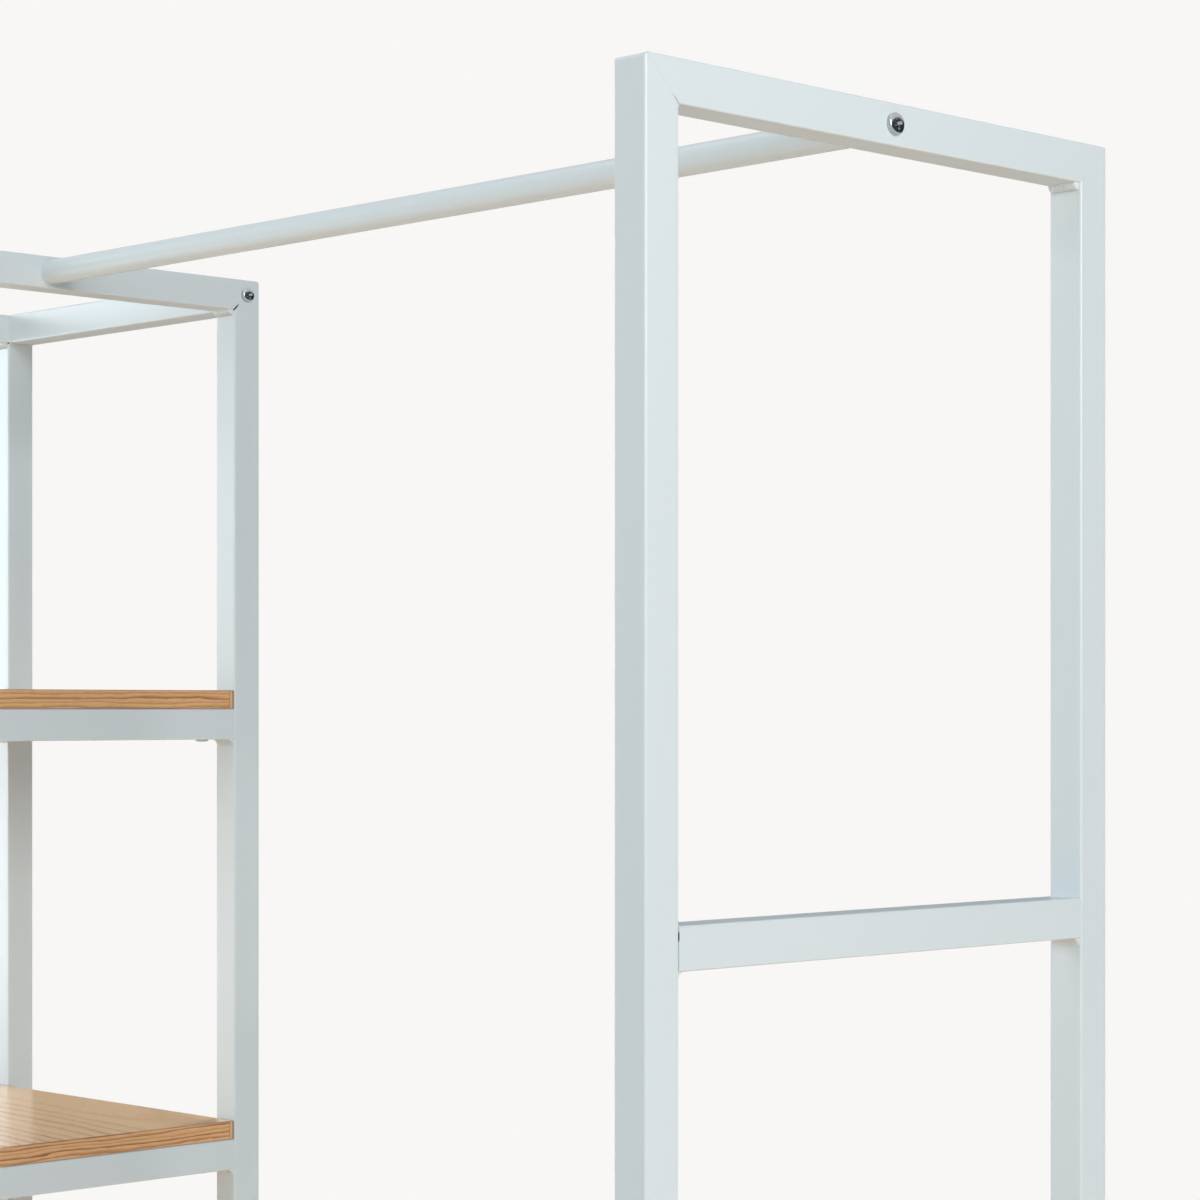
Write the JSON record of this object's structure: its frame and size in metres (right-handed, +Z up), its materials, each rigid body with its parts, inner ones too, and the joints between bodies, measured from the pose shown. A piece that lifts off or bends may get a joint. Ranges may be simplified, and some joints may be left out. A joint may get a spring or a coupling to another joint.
{
  "type": "open frame wardrobe",
  "caption": "Free-standing open wardrobe: a steel tube frame with a tower of oak shelves, a hanging bay with a round rail and a long low board, on screw feet.",
  "frame": {"origin": "on the floor, under the middle of the frame's width and depth", "axes": "+X along the rail to the open end frame, +Y to the back, +Z up"},
  "size_m": [1.4982, 0.475, 1.73],
  "materials": {
    "frame_paint": "satin cool-white powder coat",
    "rail_paint": "semi-gloss cool-white powder coat",
    "oak_veneer": "clear satin lacquer on oak veneer",
    "oak_edge_band": "clear satin lacquer on oak edge band",
    "zinc_steel": "bright zinc plate",
    "foot_plastic": "matt moulded nylon"
  },
  "bodies": {
    "frame": {"outer_front_upright": "frame_paint", "outer_rear_upright": "frame_paint", "outer_top_bar": "frame_paint", "outer_shelf_bar_1": "frame_paint", "outer_shelf_bar_2": "frame_paint", "outer_shelf_bar_3": "frame_paint", "outer_bottom_bar": "frame_paint", "inner_front_upright": "frame_paint", "inner_rear_upright": "frame_paint", "inner_top_bar": "frame_paint", "inner_shelf_bar_1": "frame_paint", "inner_shelf_bar_2": "frame_paint", "inner_shelf_bar_3": "frame_paint", "inner_bottom_bar": "frame_paint", "end_front_upright": "frame_paint", "end_rear_upright": "frame_paint", "end_top_bar": "frame_paint", "end_cross_bar_1": "frame_paint", "end_cross_bar_2": "frame_paint", "end_bottom_bar": "frame_paint", "tower_front_cross_bar": "frame_paint", "tower_rear_cross_bar": "frame_paint", "bay_front_rail": "frame_paint", "bay_rear_rail": "frame_paint", "outer_frame_welds": "frame_paint", "inner_frame_welds": "frame_paint", "end_frame_welds": "frame_paint", "hanging_rail": "rail_paint", "shelf_1": "oak_veneer", "shelf_2": "oak_veneer", "shelf_3": "oak_veneer", "shelf_4": "oak_veneer", "bay_board": "oak_veneer", "shelf_1_edge_band": "oak_edge_band", "shelf_2_edge_band": "oak_edge_band", "shelf_3_edge_band": "oak_edge_band", "shelf_4_edge_band": "oak_edge_band", "bay_board_edge_band": "oak_edge_band", "hanging_rail_plugs": "zinc_steel", "cross_bar_plugs": "zinc_steel", "bay_rail_plugs": "zinc_steel", "hanging_rail_bolts": "zinc_steel", "cross_bar_bolts": "zinc_steel", "bay_rail_bolts": "zinc_steel", "shelf_screws": "zinc_steel", "bay_board_screws": "zinc_steel", "foot_nuts": "zinc_steel"},
    "foot_outer_front": {"foot_outer_front_pad": "foot_plastic", "foot_outer_front_stud": "zinc_steel"},
    "foot_outer_rear": {"foot_outer_rear_pad": "foot_plastic", "foot_outer_rear_stud": "zinc_steel"},
    "foot_inner_front": {"foot_inner_front_pad": "foot_plastic", "foot_inner_front_stud": "zinc_steel"},
    "foot_inner_rear": {"foot_inner_rear_pad": "foot_plastic", "foot_inner_rear_stud": "zinc_steel"},
    "foot_end_front": {"foot_end_front_pad": "foot_plastic", "foot_end_front_stud": "zinc_steel"},
    "foot_end_rear": {"foot_end_rear_pad": "foot_plastic", "foot_end_rear_stud": "zinc_steel"}
  },
  "joints": [
    {"name": "foot_outer_front_screw", "type": "slide", "parent": "frame", "child": "foot_outer_front", "axis": [0, 0, -1], "range_m": [0, 0.012]},
    {"name": "foot_outer_rear_screw", "type": "slide", "parent": "frame", "child": "foot_outer_rear", "axis": [0, 0, -1], "range_m": [0, 0.012]},
    {"name": "foot_inner_front_screw", "type": "slide", "parent": "frame", "child": "foot_inner_front", "axis": [0, 0, -1], "range_m": [0, 0.012]},
    {"name": "foot_inner_rear_screw", "type": "slide", "parent": "frame", "child": "foot_inner_rear", "axis": [0, 0, -1], "range_m": [0, 0.012]},
    {"name": "foot_end_front_screw", "type": "slide", "parent": "frame", "child": "foot_end_front", "axis": [0, 0, -1], "range_m": [0, 0.012]},
    {"name": "foot_end_rear_screw", "type": "slide", "parent": "frame", "child": "foot_end_rear", "axis": [0, 0, -1], "range_m": [0, 0.012]}
  ]
}
